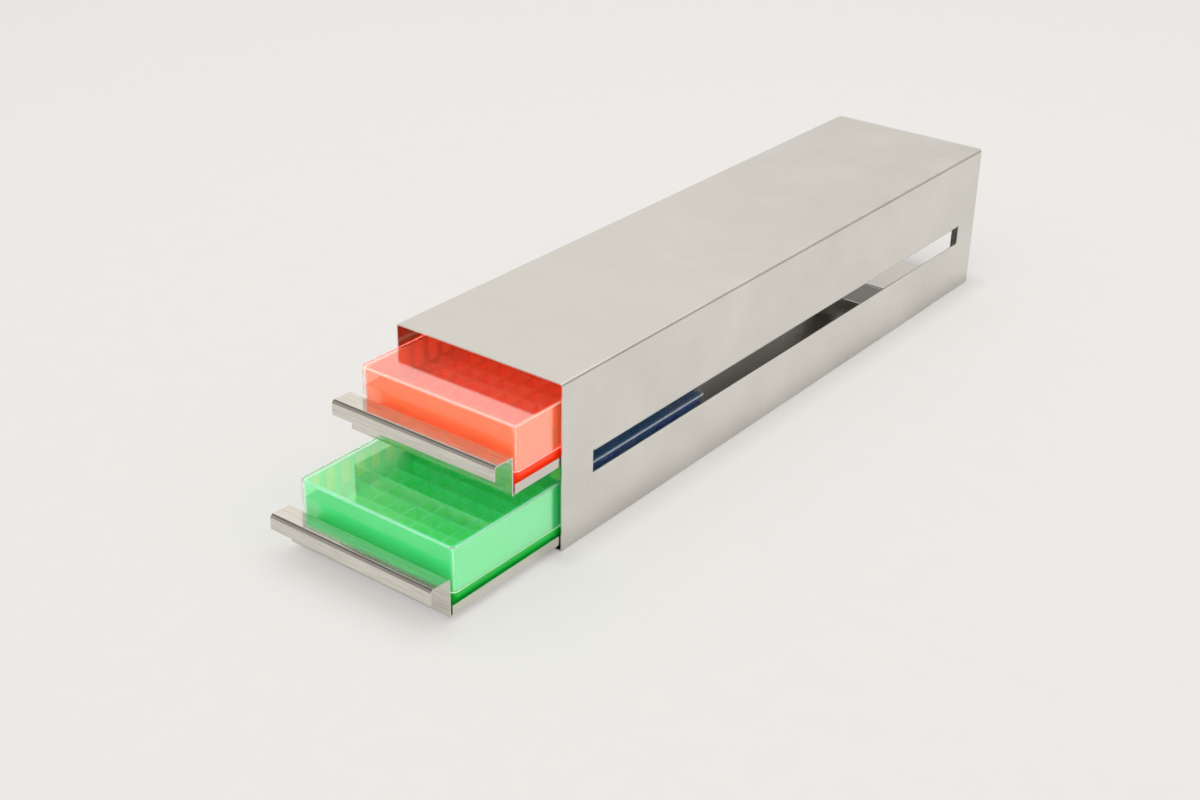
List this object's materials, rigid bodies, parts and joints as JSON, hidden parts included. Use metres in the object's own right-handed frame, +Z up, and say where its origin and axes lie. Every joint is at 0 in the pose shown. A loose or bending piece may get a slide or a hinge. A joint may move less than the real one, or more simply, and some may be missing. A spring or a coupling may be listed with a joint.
{
  "type": "freezer drawer rack",
  "caption": "Long folded stainless rack with slotted sides and stacked sliding drawers, each a shallow tray with a folded handle, carrying square lidded storage boxes with tube wells.",
  "frame": {"origin": "on the ground under the middle of the rack's box, with both drawers pulled out as in the picture", "axes": "+Y from the drawers' handles to the rear, +X to the right seen from the front, +Z up"},
  "size_m": [0.14, 0.6864, 0.121],
  "materials": {
    "stainless": "brushed stainless sheet, satin",
    "green_plastic": "translucent bright green polypropylene",
    "blue_plastic": "translucent dark blue polypropylene",
    "red_plastic": "translucent bright orange-red polypropylene",
    "clear_plastic": "clear polypropylene with a slight haze, glossy"
  },
  "bodies": {
    "housing": {"housing_shell": "stainless", "rear_tie_plate": "stainless"},
    "lower_drawer": {"lower_drawer": "stainless", "green_box_base": "green_plastic", "green_box_grid": "green_plastic", "blue_box_base": "blue_plastic", "blue_box_grid": "blue_plastic"},
    "upper_drawer": {"upper_drawer": "stainless", "red_box_base": "red_plastic", "red_box_grid": "red_plastic"},
    "green_lid": {"green_box_lid": "clear_plastic"},
    "blue_lid": {"blue_box_lid": "clear_plastic"},
    "red_lid": {"red_box_lid": "clear_plastic"}
  },
  "joints": [
    {"name": "lower_drawer_slide", "type": "slide", "parent": "housing", "child": "lower_drawer", "axis": [0, -1, 0], "range_m": [-0.1227, 0.32]},
    {"name": "upper_drawer_slide", "type": "slide", "parent": "housing", "child": "upper_drawer", "axis": [0, -1, 0], "range_m": [-0.0642, 0.38]},
    {"name": "green_lid_lift", "type": "slide", "parent": "lower_drawer", "child": "green_lid", "axis": [0, 0, 1], "range_m": [0, 0.009]},
    {"name": "blue_lid_lift", "type": "slide", "parent": "lower_drawer", "child": "blue_lid", "axis": [0, 0, 1], "range_m": [0, 0.009]},
    {"name": "red_lid_lift", "type": "slide", "parent": "upper_drawer", "child": "red_lid", "axis": [0, 0, 1], "range_m": [0, 0.011]}
  ]
}
